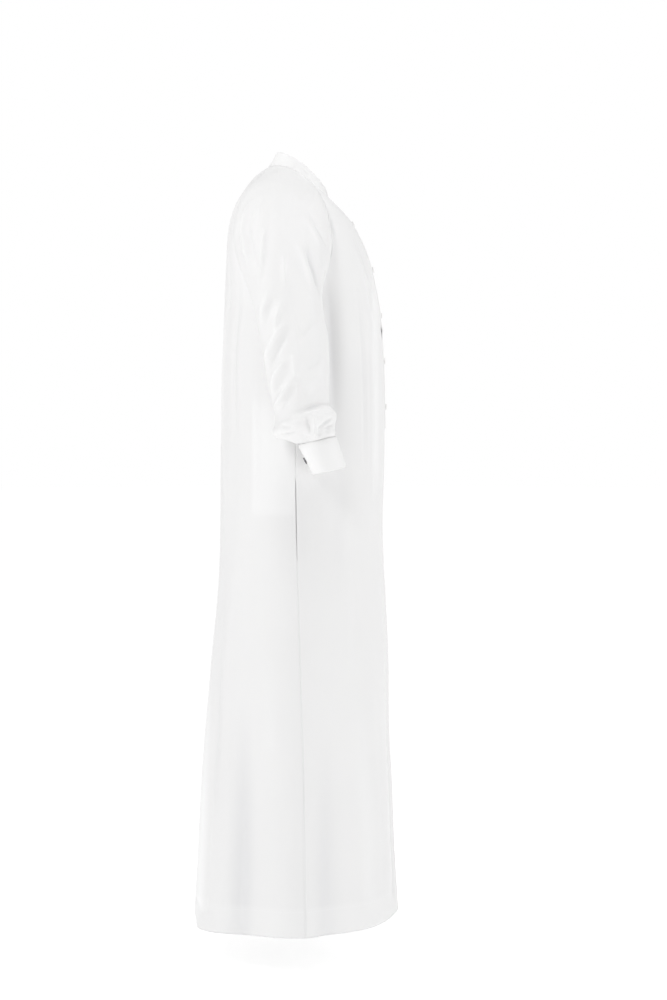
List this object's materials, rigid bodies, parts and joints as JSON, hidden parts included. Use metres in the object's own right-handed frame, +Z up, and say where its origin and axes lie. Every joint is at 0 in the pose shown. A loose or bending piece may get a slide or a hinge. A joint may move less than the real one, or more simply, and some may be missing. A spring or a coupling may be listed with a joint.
{
  "type": "thobe robe",
  "caption": "Ankle-length loose robe with a stand collar, buttoned front strip, full sleeves gathered into turned-back cuffs, and side seam pockets, open and hollow as worn.",
  "frame": {"origin": "middle of the neck opening at the height where the collar's sides meet the robe, which is where the wearer's shoulders and neck carry it", "axes": "+Z up, the front faces -Y, +X towards the wearer's left"},
  "size_m": [0.627, 0.4, 1.5168],
  "materials": {
    "cloth": "fine matt white cloth with a slight sheen",
    "stiff_cloth": "the same cloth, stiffened, two layers",
    "pearl": "satin white",
    "dark_metal": "satin dark grey"
  },
  "bodies": {
    "root": {"front_panel": "cloth", "back_panel": "cloth", "sleeve_right": "cloth", "sleeve_left": "cloth", "pocket_bag_right": "cloth", "pocket_bag_left": "cloth", "collar": "stiff_cloth", "placket": "stiff_cloth", "cuff_right": "stiff_cloth", "cuff_left": "stiff_cloth", "button_1": "pearl", "button_2": "pearl", "button_3": "pearl", "button_4": "pearl", "button_5": "pearl", "cuff_link_right": "dark_metal", "cuff_link_left": "dark_metal"}
  },
  "joints": []
}
